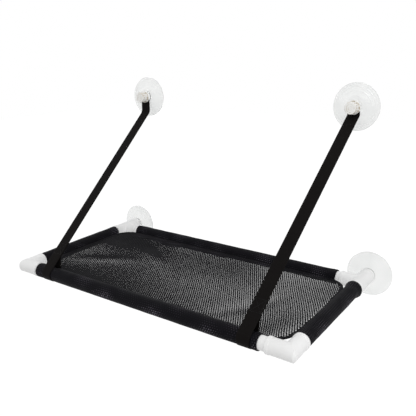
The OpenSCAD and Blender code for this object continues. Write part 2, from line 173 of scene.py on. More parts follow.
def make_double_net():
    """Two layers of hexagonal net over each other, the second shifted and turned a little. Hole is high
    where both are open, and Height follows the first layer's strands."""
    inputs = [("Vector", "NodeSocketVector", None), ("Row Pitch", "NodeSocketFloat", 0.0035)]
    outputs = [("Height", "NodeSocketFloat"), ("Hole", "NodeSocketFloat")]
    group, start, end = new_group("double_net", inputs, outputs)
    layers = []
    for turn, shift in ((0.0, (0.0, 0.0)), (4.0, (0.0011, 0.0006))):
        moved = put(
            group, "ShaderNodeMapping",
            {"Vector": start.outputs["Vector"], "Location": (*shift, 0), "Rotation": (0, 0, radians(turn))},
        )
        place = put(group, "ShaderNodeSeparateXYZ", {"Vector": moved.outputs["Vector"]})
        waves = 0.0
        for heading in (30, 90, 150):
            a = times(group, place.outputs["X"], cos(radians(heading)))
            b = calculate(group, "MULTIPLY_ADD", place.outputs["Y"], sin(radians(heading)), a)
            turns = calculate(group, "DIVIDE", b, start.outputs["Row Pitch"])
            wave = calculate(group, "COSINE", times(group, turns, 2 * pi))
            waves = calculate(group, "ADD", waves, wave)
        layers.append(spread(group, waves, -0.6, 1.8, 0, 1))
    hole = times(group, layers[0], layers[1])
    height = calculate(group, "SUBTRACT", 1.0, layers[0])
    group.links.new(height, end.inputs["Height"])
    group.links.new(hole, end.inputs["Hole"])
    return group


def make_patches():
    """Soft cloudy patches with fine specks, for uneven gloss and colour."""
    inputs = [
        ("Vector", "NodeSocketVector", None),
        ("Patch Scale", "NodeSocketFloat", 25.0),
        ("Speck Scale", "NodeSocketFloat", 900.0),
    ]
    outputs = [("Patch", "NodeSocketFloat"), ("Speck", "NodeSocketFloat")]
    group, start, end = new_group("patches", inputs, outputs)
    patch = put(group, "ShaderNodeTexNoise",
                {"Vector": start.outputs["Vector"], "Scale": start.outputs["Patch Scale"], "Detail": 3})
    speck = put(group, "ShaderNodeTexNoise",
                {"Vector": start.outputs["Vector"], "Scale": start.outputs["Speck Scale"], "Detail": 2})
    group.links.new(spread(group, patch.outputs["Fac"], 0.3, 0.7, 0, 1), end.inputs["Patch"])
    group.links.new(speck.outputs["Fac"], end.inputs["Speck"])
    return group


WOVEN_RIBS = make_ribs()
DOUBLE_NET = make_double_net()
PATCHES = make_patches()


def use(tree, group, **inputs):
    """Adds a node for a shader group."""
    inputs = {key.replace("_", " "): value for key, value in inputs.items()}
    return put(tree, "ShaderNodeGroup", inputs, node_tree=group)


def mix_colour(tree, factor, low, high):
    """The colour between low, at a factor of 0, and high, at 1."""
    node = put(tree, "ShaderNodeMix", {0: factor}, data_type="RGBA")
    node.inputs[6].default_value = (*low, 1)
    node.inputs[7].default_value = (*high, 1)
    return node.outputs[2]


def bump(tree, height, strength, distance):
    """A normal that makes the surface look raised where height is high."""
    inputs = {"Height": height, "Strength": strength, "Distance": distance}
    return put(tree, "ShaderNodeBump", inputs).outputs["Normal"]


def object_place(tree):
    """The place in the piece's own frame, in metres."""
    return put(tree, "ShaderNodeTexCoord").outputs["Object"]


def cloth_place(tree):
    """The place along and across a cloth, in metres."""
    return put(tree, "ShaderNodeUVMap", uv_map="cloth").outputs["UV"]


def join(tree, shader, **results):
    """Joins nodes' results to the shader's sockets."""
    for key, value in results.items():
        tree.links.new(value, shader.inputs[key.replace("_", " ")])


def new_material(name, **values):
    """A material and its Principled BSDF, with plain values on the shader's own sockets."""
    material = bpy.data.materials.new(name)
    material.use_nodes = True
    tree = material.node_tree
    shader = tree.nodes["Principled BSDF"]
    for key, value in values.items():
        shader.inputs[key.replace("_", " ")].default_value = value
    return material, tree, shader


def make_plain(name, scales, tone, colours, rough, raised=None, **values):
    """A material with cloudy patches and fine specks. The tone, one of the two, mixes its colours."""
    material, tree, shader = new_material(name, **values)
    patches = use(tree, PATCHES, Vector=object_place(tree), Patch_Scale=scales[0], Speck_Scale=scales[1])
    join(
        tree, shader,
        Base_Color=mix_colour(tree, patches.outputs[tone], *colours),
        Roughness=spread(tree, patches.outputs["Patch"], 0, 1, *rough),
    )
    if raised:
        join(tree, shader, Normal=bump(tree, patches.outputs["Speck"], *raised))
    return material


def make_sleeve_cloth():
    """Doubled net over a white tube, which shows through the holes where the cloth lies tight. Low on the
    sleeve's side, where the cloth faces partly down, patches of painted highlight brighten the holes, added
    to the tube showing through."""
    material, tree, shader = new_material(
        "sleeve_cloth", Sheen_Weight=0.01, Sheen_Roughness=0.45, Specular_IOR_Level=0.06,
    )
    place = cloth_place(tree)
    net = use(tree, DOUBLE_NET, Vector=place, Row_Pitch=0.0035)
    patches = use(tree, PATCHES, Vector=place, Patch_Scale=18.0, Speck_Scale=2200.0)
    tight = spread(tree, patches.outputs["Patch"], 0.25, 0.8, 0.04, 1)
    shade = times(tree, calculate(tree, "POWER", net.outputs["Hole"], 1.6), tight)
    shade = times(tree, shade, spread(tree, patches.outputs["Speck"], 0.3, 0.7, 0.5, 1))
    # Painted highlight: brighter patches in the holes only where the sleeve faces partly down, added to the
    # tube showing through
    highlight_patches = use(tree, PATCHES, Vector=place, Patch_Scale=240.0, Speck_Scale=2200.0)
    normal = put(tree, "ShaderNodeNewGeometry").outputs["Normal"]
    facing = put(tree, "ShaderNodeSeparateXYZ", {"Vector": normal})
    lower = times(tree, spread(tree, facing.outputs["Z"], 0.6, 0.1, 0, 1), tight)
    lower = times(tree, lower, spread(tree, facing.outputs["Z"], -0.85, -0.45, 0, 1))
    painted_glints = times(tree, spread(tree, highlight_patches.outputs["Patch"], 0.35, 0.75, 0, 1), lower)
    painted_glints = times(tree, calculate(tree, "POWER", net.outputs["Hole"], 1.3), painted_glints)
    shade = calculate(tree, "ADD", times(tree, shade, 0.4), painted_glints)
    join(
        tree, shader,
        Base_Color=mix_colour(tree, shade, (0.003, 0.0028, 0.0042), (0.26, 0.242, 0.29)),
        Roughness=spread(tree, patches.outputs["Patch"], 0, 1, 0.55, 0.75),
        Normal=bump(tree, net.outputs["Height"], 0.6, 0.0004),
    )
    return material


def make_tape(name, low, high, rib_pitch, end_pitch):
    material, tree, shader = new_material(
        name, Sheen_Weight=0.01, Sheen_Roughness=0.4, Specular_IOR_Level=0.05,
    )
    place = cloth_place(tree)
    ribs = use(tree, WOVEN_RIBS, Vector=place, Rib_Pitch=rib_pitch, End_Pitch=end_pitch)
    patches = use(tree, PATCHES, Vector=place, Patch_Scale=30.0, Speck_Scale=1800.0)
    # Colour follows the ribs' painted shade in the grooves, with random patches of tone
    shade = times(tree, ribs.outputs["Shade"], spread(tree, patches.outputs["Patch"], 0, 1, 0.7, 1))
    join(
        tree, shader,
        Base_Color=mix_colour(tree, shade, low, high),
        Roughness=spread(tree, ribs.outputs["Height"], 0, 1, 0.75, 0.5),
        Normal=bump(tree, ribs.outputs["Height"], 0.5, 0.0002),
    )
    return material


# Pitches of the amber lines painted as shade and reflection round the cap's axis and along its thread
CAP_RING_PITCH = 0.0032
CAP_THREAD_PITCH = 0.0026


def make_cap_plastic():
    """Clear plastic clouded by moulding, with ridges round its axis and along its thread, raised by bump and
    coloured amber as painted shade and painted reflection.
    """
    material, tree, shader = new_material("hard_clear_plastic", Transmission_Weight=0.05, IOR=1.46)
    place = object_place(tree)
    patches = use(tree, PATCHES, Vector=place, Patch_Scale=260.0, Speck_Scale=900.0)
    part = put(tree, "ShaderNodeSeparateXYZ", {"Vector": place})
    over = calculate(tree, "SUBTRACT", calculate(tree, "ABSOLUTE", part.outputs["X"]), UPPER_CUP_X)
    rise = calculate(tree, "SUBTRACT", part.outputs["Z"], CUP_RISE)
    squares = [calculate(tree, "POWER", side, 2.0) for side in (over, rise)]
    radius = calculate(tree, "SQRT", calculate(tree, "ADD", *squares))
    rings, threads = (
        calculate(tree, "COSINE", times(tree, length, 2 * pi / pitch))
        for length, pitch in ((radius, CAP_RING_PITCH), (part.outputs["Y"], CAP_THREAD_PITCH))
    )
    # The amber lines are painted shade and painted reflection on the pale plastic; the same lines raise the
    # bump
    ridges_and_painted_shade = calculate(tree, "MAXIMUM", spread(tree, rings, 0.6, 1, 0, 1), spread(tree, threads, 0.7, 1, 0, 1))
    shade = times(tree, ridges_and_painted_shade, spread(tree, patches.outputs["Patch"], 0.35, 0.7, 0.05, 0.9))
    join(
        tree, shader,
        Base_Color=mix_colour(tree, shade, (0.97, 0.965, 0.94), (0.42, 0.33, 0.2)),
        Roughness=spread(tree, patches.outputs["Patch"], 0, 1, 0.1, 0.25),
        Normal=bump(tree, ridges_and_painted_shade, 0.35, 0.0004),
    )
    return material


WHITE_PLASTIC = make_plain(
    "white_plastic", (22.0, 1500.0), "Patch", ((0.84, 0.84, 0.835), (0.89, 0.89, 0.89)),
    rough=(0.3, 0.42), raised=(0.12, 0.0002), IOR=1.46,
)
NET_CLOTH = make_plain(
    "net_cloth", (14.0, 2600.0), "Speck", ((0.005, 0.005, 0.006), (0.016, 0.016, 0.018)),
    rough=(0.5, 0.68), raised=(0.5, 0.0001), Sheen_Weight=0.02, Sheen_Roughness=0.5, Specular_IOR_Level=0.03,
)
SLEEVE_CLOTH = make_sleeve_cloth()
WEBBING = make_tape("webbing", (0.002, 0.0016, 0.0016), (0.009, 0.0075, 0.007), 0.0013, 0.0009)
BINDING_TAPE = make_tape("binding_tape", (0.003, 0.003, 0.004), (0.011, 0.011, 0.013), 0.0008, 0.0006)
THREAD = make_plain(
    "sewing_thread", (60.0, 3000.0), "Speck", ((0.003, 0.003, 0.0035), (0.012, 0.011, 0.012)),
    rough=(0.35, 0.5), Sheen_Weight=0.02, Specular_IOR_Level=0.15,
)
SOFT_CLEAR = make_plain(
    "soft_clear_plastic", (35.0, 700.0), "Patch", ((0.86, 0.87, 0.865), (0.91, 0.915, 0.91)),
    rough=(0.08, 0.16), raised=(0.05, 0.0002), Transmission_Weight=0.86, IOR=1.42,
)
HARD_CLEAR = make_cap_plastic()


# Mesh building
def grid_quads(rows, columns, wrap_rows=False, wrap_columns=False):
    """Quads over a grid of points, as rows of indices."""
    r = np.arange(rows if wrap_rows else rows - 1)[:, None]
    c = np.arange(columns if wrap_columns else columns - 1)[None, :]
    up, over = (r + 1) % rows, (c + 1) % columns
    quads = [r * columns + c, r * columns + over, up * columns + over, up * columns + c]
    return np.stack(np.broadcast_arrays(*quads), -1).reshape(-1, 4)


def grid_uv(along, across):
    """Corner UVs for grid_quads over a grid; both lists have one entry more where they wrap."""
    rows, columns = np.meshgrid(np.arange(len(along) - 1), np.arange(len(across) - 1), indexing="ij")
    corners = [(along[rows + i], across[columns + j]) for i, j in ((0, 0), (0, 1), (1, 1), (1, 0))]
    return np.stack([np.stack(corner, -1) for corner in corners], -2).reshape(-1, 2)


def make_piece(name, points, faces, material, uv=None, smooth=True):
    """A mesh object. Its UVs, in metres, are one for each corner of each face."""
    mesh = bpy.data.meshes.new(name)
    mesh.from_pydata([tuple(p) for p in points], [], [tuple(int(i) for i in f) for f in faces])
    if uv is not None:
        layer = mesh.uv_layers.new(name="cloth")
        layer.data.foreach_set("uv", np.asarray(uv, np.float32).ravel())
    mesh.polygons.foreach_set("use_smooth", [smooth] * len(mesh.polygons))
    mesh.materials.append(material)
    mesh.validate()
    made = bpy.data.objects.new(name, mesh)
    bpy.context.scene.collection.objects.link(made)
    return made


def join_parts(parts):
    """Joins (points, faces, uv) parts into one."""
    points, faces, uv, count = [], [], [], 0
    for part_points, part_faces, part_uv in parts:
        points.append(np.asarray(part_points, float))
        faces.extend([tuple(int(i) + count for i in f) for f in part_faces])
        uv.append(np.asarray(part_uv, float))
        count += len(part_points)
    return np.concatenate(points), faces, np.concatenate(uv)


def capped_strip(profiles, along, across):
    """A closed strip: its profiles are rings of points, one for each station along it."""
    profiles = np.asarray(profiles, float)
    rows, columns = profiles.shape[:2]
    faces = [tuple(f) for f in grid_quads(rows, columns, wrap_columns=True)]
    uv = grid_uv(np.asarray(along, float), np.asarray(across, float))
    first = tuple(range(columns))[::-1]
    last = tuple((rows - 1) * columns + i for i in range(columns))
    ends = [(along[0], across[i]) for i in first] + [(along[-1], across[i]) for i in range(columns)]
    return profiles.reshape(-1, 3), [*faces, first, last], np.concatenate([uv, np.array(ends)])


def ring_lengths(ring):
    """The length round a closed profile at each of its points, and back at the first."""
    sides = [hypot(b[0] - a[0], b[1] - a[1]) for a, b in zip(ring, ring[1:] + ring[:1])]
    return np.concatenate([[0], np.cumsum(sides)])


def at_point(start, *steps):
    """A point reached from start by lengths along directions."""
    return np.array(start) + sum(length * np.array(way) for length, way in steps)


def resample(line, step):
    """Points at even steps along a line, and the length at each."""
    lengths = np.concatenate([[0], np.cumsum(np.linalg.norm(np.diff(line, axis=0), axis=1))])
    at = np.linspace(0, lengths[-1], max(2, round(lengths[-1] / step)) + 1)
    return np.stack([np.interp(at, lengths, line[:, k]) for k in range(line.shape[1])], 1), at


def smooth_step(value):
    """0 below 0, 1 above 1, and a soft rise between."""
    value = np.clip(value, 0, 1)
    return value * value * (3 - 2 * value)


# The net and its sag, as the CAD panel hangs. A fold has its place, in shares of the net's half sizes,
# its heading in degrees, and 1 where it stands up or -1 where it hangs down.
SAG = 8 * MM
FOLDS = [((-0.72, -0.2), 35, 1), ((-0.45, 0.35), -25, 1), ((0.62, -0.3), 60, -1)]
FOLD_H = 1.1 * MM
FOLD_W = 16 * MM
FOLD_LENGTH = 60 * MM
ROW_PITCH = 3.5 * MM
CELL = ROW_PITCH / cos(radians(30))
WALE_W = 2.0 * MM
WALE_H = 1.0 * MM
LAP_H = 0.5 * MM
NET_MARGIN = 2.6 * MM

# How far the sewn corner at the front right pulls the threads in X and Y, and over what distance
PULL = (-9 * MM, -4 * MM)
PULL_FADE = (0.045, 0.07)

# How far, in millimetres, the net's right edge bows out at its middle, and the bow's half length in metres
RIGHT_BOW = 3.5
BOW_HALF = 0.06

# Millimetres: a lap's width, and what is added to it at the left, at the back and at the front
LAP_W, LAP_AT_LEFT, LAP_AT_BACK, LAP_AT_FRONT = 1.0, 0.5, 1.7, -0.28


def fold(x, y, share, heading):
    """How high a fold stands at x and y, from 0 to 1."""
    dx, dy = x - share[0] * NET_X, y - share[1] * NET_Y
    c, s = cos(radians(heading)), sin(radians(heading))
    return np.exp(-(((dx * s - dy * c) / FOLD_W) ** 2) - ((dx * c + dy * s) / FOLD_LENGTH) ** 2)


def net_height(x, y):
    """Height of the net at x and at y from the middle of the frame."""
    hang = (1 - np.clip(np.abs(x) / NET_X, 0, 1) ** 3.2) * (1 - np.clip(np.abs(y) / NET_Y, 0, 1) ** 2.2)
    soft = sum(sign * fold(x, y, share, heading) for share, heading, sign in FOLDS)
    return -SAG * hang + FOLD_H * np.minimum(1, 3 * hang) * soft


def inside_outline(x, y, spare):
    """True inside the net's rounded outline, made larger by spare."""
    half_x, half_y, corner = NET_X + spare, NET_Y + spare, NET_CORNER + spare
    past_x = np.maximum(0, np.abs(x) - (half_x - corner))
    past_y = np.maximum(0, np.abs(y) - (half_y - corner))
    return (np.abs(x) < half_x) & (np.abs(y) < half_y) & (past_x**2 + past_y**2 < corner**2)


def net_pull(x, y):
    """How far the sewn corner at the front right pulls the net's threads aside."""
    past_x = np.maximum(0, NET_X - x) / PULL_FADE[0]
    past_y = np.maximum(0, y + NET_Y) / PULL_FADE[1]
    reach = np.exp(-(past_x**2) - past_y**2)
    return PULL[0] * reach, PULL[1] * reach


def lap_width(x, y):
    """Width of the net's slanting strands: wider towards the back and the left, which closes the holes and
    makes the net darker there, and narrower at the front.
    """
    front = smooth_step((-0.02 - y) / 0.08)
    left = smooth_step((-0.06 - x) / 0.12) * (1 - 0.5 * front)
    back = smooth_step((y + 0.02) / 0.11) * (1 - 0.7 * smooth_step((x - 0.05) / 0.12))
    return (LAP_W + LAP_AT_LEFT * left + LAP_AT_BACK * back + LAP_AT_FRONT * front) * MM


def make_net():
    """A net of hexagonal holes, with thick wales along its depth and thin laps slanting between them. Each
    junction is a small three-cornered plate, and the strands join the plates' sides."""
    side = CELL / 3**0.5
    rows, columns = ceil(2 * NET_Y / ROW_PITCH) + 6, ceil(2 * NET_X / CELL) + 6
    j, i = np.meshgrid(np.arange(-rows // 2, rows // 2 + 1), np.arange(-columns, columns + 1), indexing="ij")
    cell_x, cell_y = CELL * (i + 0.5 * (j % 2)), ROW_PITCH * j
    near = inside_outline(cell_x, cell_y, 4 * CELL)
    cell_x, cell_y = cell_x[near], cell_y[near]
    low = np.stack([cell_x, cell_y + side], 1)
    high = np.stack([cell_x + CELL / 2, cell_y + side / 2], 1)
    places = np.concatenate([low, high])
    x, y = (places + np.stack(net_pull(*places.T), 1)).T
    bow = RIGHT_BOW * MM * np.exp(-((y / BOW_HALF) ** 2)) * (x > NET_X / 2)
    keep = inside_outline(x - bow, y, NET_MARGIN)
    found = {(round(a / CELL * 4), round(b / side * 4)): k for k, (a, b) in enumerate(high, len(low))}
    turned = np.where(np.arange(len(places)) < len(low), 1, -1)
    half_lap = lap_width(x, y) / 2
    beside_wale = (half_lap - WALE_W / 4) / cos(radians(30))
    corners = ((WALE_W / 2, beside_wale), (-WALE_W / 2, beside_wale), (0.0, -half_lap / cos(radians(30))))
    points = np.zeros((len(places), 6, 3))
    for k in range(6):
        out_x, out_y = corners[k % 3]
        thick = (LAP_H if k % 3 == 2 else WALE_H) * (0.5 if k < 3 else -0.5)
        points[:, k] = np.stack([x + turned * out_x, y + turned * out_y, net_height(x, y) + thick], 1)
    faces = []
    joined = np.zeros((len(places), 3), bool)
    for a in np.flatnonzero(keep[:len(low)]):
        for k, (dx, dy) in enumerate(((CELL / 2, -side / 2), (0.0, side), (-CELL / 2, -side / 2))):
            b = found.get((round((low[a, 0] + dx) / CELL * 4), round((low[a, 1] + dy) / side * 4)))
            if b is None or not keep[b]:
                continue
            joined[a, k] = joined[b, k] = True
            other = (k + 2) % 3
            left, right, far_left, far_right = 6 * a + k, 6 * a + other, 6 * b + other, 6 * b + k
            faces.append((right, far_right, far_left, left))
            faces.append((left + 3, far_left + 3, far_right + 3, right + 3))
            faces.append((left, far_left, far_left + 3, left + 3))
            faces.append((far_right, right, right + 3, far_right + 3))
    plates = []
    for a in np.flatnonzero(joined.any(1)):
        plates += [(6 * a, 6 * a + 1, 6 * a + 2), (6 * a + 5, 6 * a + 4, 6 * a + 3)]
        for k in np.flatnonzero(~joined[a]):
            left, right = 6 * a + k, 6 * a + (k + 2) % 3
            faces.append((left, right, right + 3, left + 3))
    used = np.repeat(joined.any(1), 6)
    number = np.cumsum(used) - 1
    points = points.reshape(-1, 3)[used] + np.array([0, MIDDLE_Y, 0])
    return points, [*number[np.array(faces)], *number[np.array(plates)]]


# Camera, at the photograph's angle and distance
CAMERA_AT = (0.534491, -0.877382, 0.378307)
CAMERA_YAW, CAMERA_PITCH, CAMERA_ROLL = radians(34.8453), radians(-16.3267), radians(-0.5915)
SENSOR_W, LENS = 36, 46.192


def make_camera():
    data = bpy.data.cameras.new("camera")
    data.sensor_fit = "HORIZONTAL"
    data.sensor_width = SENSOR_W
    data.lens = LENS
    data.clip_start, data.clip_end = 0.01, 50
    ahead = Vector((
        -sin(CAMERA_YAW) * cos(CAMERA_PITCH), cos(CAMERA_YAW) * cos(CAMERA_PITCH), sin(CAMERA_PITCH)
    ))
    level = Vector((cos(CAMERA_YAW), sin(CAMERA_YAW), 0))
    above = level.cross(ahead)
    right = cos(CAMERA_ROLL) * level + sin(CAMERA_ROLL) * above
    up = -sin(CAMERA_ROLL) * level + cos(CAMERA_ROLL) * above
    turn = Matrix((right, up, -ahead)).transposed().to_4x4()
    camera = bpy.data.objects.new("camera", data)
    camera.matrix_world = Matrix.Translation(CAMERA_AT) @ turn
    bpy.context.scene.collection.objects.link(camera)
    bpy.context.scene.camera = camera


# Stage. A light has its place, its width and its power in watts.
FLOOR_DROP = 0.46
FLOOR_HALF = 6.0
FLOOR_GLOW = 0.88
SURROUND_LIGHT = 0.58
LIGHTS_AIM = Vector((0, -0.18, 0))
LIGHTS = {
    "key_light": ((0.9, -1.3, 1.7), 1.4, 16),
    "fill_light": ((-1.5, -0.9, 1.1), 1.6, 1.5),
    "top_light": ((0.0, 0.4, 2.0), 1.6, 1.5),
    "side_light": ((1.5, -0.5, 0.3), 1.2, 3),
}


def seen_rays(tree):
    """1 for what the camera sees, also mirrored or through clear pieces, and 0 for other light."""
    path = put(tree, "ShaderNodeLightPath")
    seen = calculate(tree, "MAXIMUM", path.outputs["Is Camera Ray"], path.outputs["Is Glossy Ray"])
    return calculate(tree, "MAXIMUM", seen, path.outputs["Is Transmission Ray"])


def make_floor():
    """A pale floor well below the perch, which looks white and throws back less light."""
    low = cad_box[0].z - FLOOR_DROP
    points = [(x * FLOOR_HALF, y * FLOOR_HALF, low) for x, y in ((-1, -1), (1, -1), (1, 1), (-1, 1))]
    material, tree, shader = new_material("pale_floor", Roughness=0.9)
    patches = use(tree, PATCHES, Vector=object_place(tree), Patch_Scale=3.0, Speck_Scale=60.0)
    seen = seen_rays(tree)
    shade = spread(tree, patches.outputs["Patch"], 0, 1, 0.98, 1)
    level = times(tree, shade, spread(tree, seen, 0, 1, 0.83, 0.2))
    colour = put(tree, "ShaderNodeCombineColor", {"Red": level, "Green": level, "Blue": level})
    shader.inputs["Emission Color"].default_value = (1, 1, 1, 1)
    join(
        tree, shader,
        Base_Color=colour.outputs["Color"],
        Emission_Strength=times(tree, seen, FLOOR_GLOW),
    )
    floor = make_piece("floor", points, [(0, 1, 2, 3)], material)


def make_surround():
    """Even soft light all round, and plain white where the camera sees past the floor."""
    world = bpy.data.worlds.new("surround")
    bpy.context.scene.world = world
    world.use_nodes = True
    tree = world.node_tree
    light = tree.nodes["Background"]
    light.inputs["Color"].default_value = (1, 1, 1, 1)
    light.inputs["Strength"].default_value = SURROUND_LIGHT
    white = put(tree, "ShaderNodeBackground", {"Color": (1, 1, 1, 1), "Strength": 1.0})
    inputs = {0: seen_rays(tree), 1: light.outputs[0], 2: white.outputs[0]}
    mixed = put(tree, "ShaderNodeMixShader", inputs)
    tree.links.new(mixed.outputs[0], tree.nodes["World Output"].inputs["Surface"])


def make_lights():
    for name, (at, size, power) in LIGHTS.items():
        data = bpy.data.lights.new(name, "AREA")
        data.size = size
        data.energy = power
        lamp = bpy.data.objects.new(name, data)
        lamp.location = at
        lamp.rotation_euler = (LIGHTS_AIM - Vector(at)).to_track_quat("-Z", "Y").to_euler()
        bpy.context.scene.collection.objects.link(lamp)


make_camera()
make_floor()
make_surround()
make_lights()

# Net
net = make_piece("net_panel", *make_net(), NET_CLOTH)
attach(net, "frame")
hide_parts("mesh_panel")


# Sleeves
SLEEVES = ("front_sleeve", "back_sleeve", "left_sleeve", "right_sleeve")
FIRST_SEED = 11
SLEEVE_MIDDLE_R = SLEEVE_R - 1.0 * MM
SLEEVE_INSIDE_R = SLEEVE_R - 1.55 * MM
SLEEVE_MOST_R = SLEEVE_R + 0.9 * MM
SLEEVE_INSET = 0.35 * MM
SLEEVE_STEP = 2.6 * MM
SLEEVE_AROUND = 56
END_EDGE = 0.3 * MM

# The cloth leaves the tube in a soft hollow towards the hem, which fades at the sleeve's ends
FAIRING_TURN = radians(24)
FAIRING_FADE = 24 * MM

# Two seams round each end, as distances from the end
END_SEAMS = (3.2 * MM, 7.4 * MM)
END_SEAM_H = 0.3 * MM
END_SEAM_W = 1.0 * MM

# The right sleeve's far end reaches over the tee and widens
OVERLAP = 4 * MM
FLARE = 2.1 * MM
FLARE_START = 9 * MM
FLARE_LENGTH = 11 * MM

# Wrinkles: how many there are, and how deep along the sleeve and near its ends
WRINKLES = 9
WRINKLE_H, WRINKLE_END_H = 0.45, 0.9
WRINKLE_END = 0.05

# A hem across its width: shares of the width, and of its half thickness there
HEM_SHARES = np.array([0, 0.12, 0.35, 0.6, 0.82, 0.95, 1])
HEM_THICK = np.array([0.55, 0.95, 1, 1, 0.95, 0.75, 0.25])
HEM_STEP = 2.2 * MM
HEM_WAVE_H = 0.25 * MM
HEM_WAVE_LENGTH = 6.5 * MM
SLOT_SIDE = 0.25 * MM

# The doubled net past a hem, in millimetres: each hump's place along the sleeve, its half length and
# its reach, which is below 0 where the hem falls back
FRINGES = {
    "front_sleeve": [(60, 85, 7), (-222, 30, 9)],
    "left_sleeve": [(-85, 34, 9)],
    "right_sleeve": [(0, 60, -RIGHT_BOW)],
    "back_sleeve": [(-196, 34, 12), (-122, 36, 18), (-62, 24, 9), (-10, 30, 12), (45, 30, 7), (115, 40, 7)],
}
FRINGE_START = HEM_EDGE + 0.2 * MM
FRINGE_LIFT = 0.2 * MM
FRINGE_THICK = 0.75


def sleeve_frame(name):
    """How a sleeve lies: its middle, the way along it, the way to the net, its half length and its
    hem's half length."""
    low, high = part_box(name)
    if name in ("front_sleeve", "back_sleeve"):
        side, y = (1, FRONT_Y) if name == "front_sleeve" else (-1, BACK_Y)
        centre = Vector(((low.x + high.x) / 2, y, 0))
        return centre, Vector((1, 0, 0)), Vector((0, side, 0)), (high.x - low.x) / 2, LONG_HEM_HALF
    side = 1 if name == "right_sleeve" else -1
    centre = Vector((side * SIDE_X, (low.y + high.y) / 2, 0))
    return centre, Vector((0, 1, 0)), Vector((-side, 0, 0)), (high.y - low.y) / 2, SHORT_HEM_HALF


def hem_slip(name):
    """How far a sleeve's middle lies to the side of its hem's middle."""
    return sleeve_frame(name)[0].x if name == "front_sleeve" else 0.0


def wrinkles(s, turn, half, seed):
    """Shallow folds in a sleeve, deeper near its ends."""
    dice = np.random.default_rng(seed)
    result = 0.0
    for _ in range(WRINKLES):
        waves = dice.integers(2, 7)
        pitch = dice.uniform(0.02, 0.09)
        result = result + dice.uniform(0.3, 1) * np.sin(
            waves * turn + 2 * pi * s / pitch * dice.choice((-1, 1)) + dice.uniform(0, 2 * pi))
    near_end = smooth_step((np.abs(s) - half + WRINKLE_END) / WRINKLE_END)
    return result / WRINKLES * (WRINKLE_H + WRINKLE_END_H * near_end) * MM


def fringe(name, x):
    """How far the doubled net reaches past the hem inside a sleeve: low humps with a rippled edge."""
    humps = sum(reach * np.exp(-(((x / MM - at) / width) ** 2)) for at, width, reach in FRINGES[name])
    ripple = 0.5 * np.sin(x / 0.0085) + 0.35 * np.sin(x / 0.0051 + 1.3)
    return humps * (1 + 0.12 * ripple) * MM


def sleeve_tube(name, seed, slots):
    """The cloth round the tube, outside and inside, pressed in at the straps' loops."""
    centre, way, toward, half, _ = sleeve_frame(name)
    overlap = OVERLAP if name == "right_sleeve" else 0.0
    s = np.linspace(-half, half + overlap, max(24, round(2 * half / SLEEVE_STEP)) + 1)
    turn = np.linspace(0, 2 * pi, SLEEVE_AROUND, endpoint=False)
    grid_s, grid_turn = np.meshgrid(s, turn, indexing="ij")
    at_slot = np.zeros_like(grid_s)
    for x in slots:
        past = SLOT_HALF + PRESS_RAMP - np.abs(grid_s + centre.x - x)
        at_slot = np.maximum(at_slot, smooth_step(past / PRESS_RAMP))
    near_end = smooth_step((half - np.abs(grid_s)) / FAIRING_FADE)
    lift = np.minimum(grid_turn, 2 * pi - grid_turn)
    fairing = 1 / np.cos(np.maximum(0, FAIRING_TURN - lift)) - 1
    outer = SLEEVE_R - SLEEVE_INSET + SLEEVE_R * fairing * near_end * (1 - at_slot)
    outer = outer + wrinkles(grid_s, grid_turn, half, seed)
    for place in END_SEAMS:
        outer = outer + END_SEAM_H * np.exp(-(((half - np.abs(grid_s) - place) / END_SEAM_W) ** 2))
    outer = np.minimum(outer, SLEEVE_MOST_R)
    outer = outer + (PRESSED_R - outer) * at_slot
    flare = FLARE * smooth_step((grid_s - half + FLARE_START) / FLARE_LENGTH) * (overlap > 0)
    inner = SLEEVE_INSIDE_R + flare
    outer = outer + flare
    outer[[0, -1]] = (outer[[0, -1]] + inner[[0, -1]]) / 2 + END_EDGE
    radius = np.concatenate([outer, inner[::-1]])
    along = np.concatenate([s, s[::-1]])
    turns = np.broadcast_to(turn, radius.shape)
    to_net, to_up = radius * np.cos(turns), radius * np.sin(turns)
    points = (np.array(centre) + along[:, None, None] * np.array(way)
              + to_net[..., None] * np.array(toward) + to_up[..., None] * np.array(UP))
    uv = grid_uv(np.append(along, along[0]), np.append(turn, 2 * pi) * SLEEVE_R)
    return points.reshape(-1, 3), grid_quads(*radius.shape, True, True), uv


def sleeve_hem(name, seed, slots):
    """A flat folded strip towards the net, with slots where the straps' loops pass."""
    centre, way, toward, _, hem_half = sleeve_frame(name)
    slip = hem_slip(name)
    stations = [np.linspace(-hem_half, hem_half, max(24, round(2 * hem_half / HEM_STEP))) - slip]
    for x in slots:
        for side in (-1, 1):
            stations.append([x - centre.x + side * (SLOT_HALF + step) for step in (0, SLOT_SIDE)])
    stations = np.unique(np.concatenate(stations))
    profiles = []
    for place in stations:
        in_slot = any(abs(place + centre.x - x) < SLOT_HALF + 0.1 * MM for x in slots)
        begin = SLOT_END if in_slot else SLEEVE_MIDDLE_R
        edge = HEM_EDGE + fringe(name, place + slip) + HEM_WAVE_H * sin(place / HEM_WAVE_LENGTH + seed)
        widths = begin + (edge - begin) * HEM_SHARES
        thick = HEM_T / 2 * HEM_THICK
        rise = np.zeros(len(widths))
        past = widths > FRINGE_START
        if past.any():
            over = [at_point(centre, (place, way), (w, toward)) for w in widths[past]]
            rise[past] = net_height(*(np.array(over)[:, :2] - (0, MIDDLE_Y)).T)
            rise[past] += FRINGE_LIFT
            thick = np.where(past, thick * FRINGE_THICK, thick)
        ring = list(zip(widths, rise + thick)) + list(zip(widths[::-1], (rise - thick)[::-1]))
        profiles.append([at_point(centre, (place, way), (w, toward), (h, UP)) for w, h in ring])
    return capped_strip(profiles, stations, ring_lengths(ring))


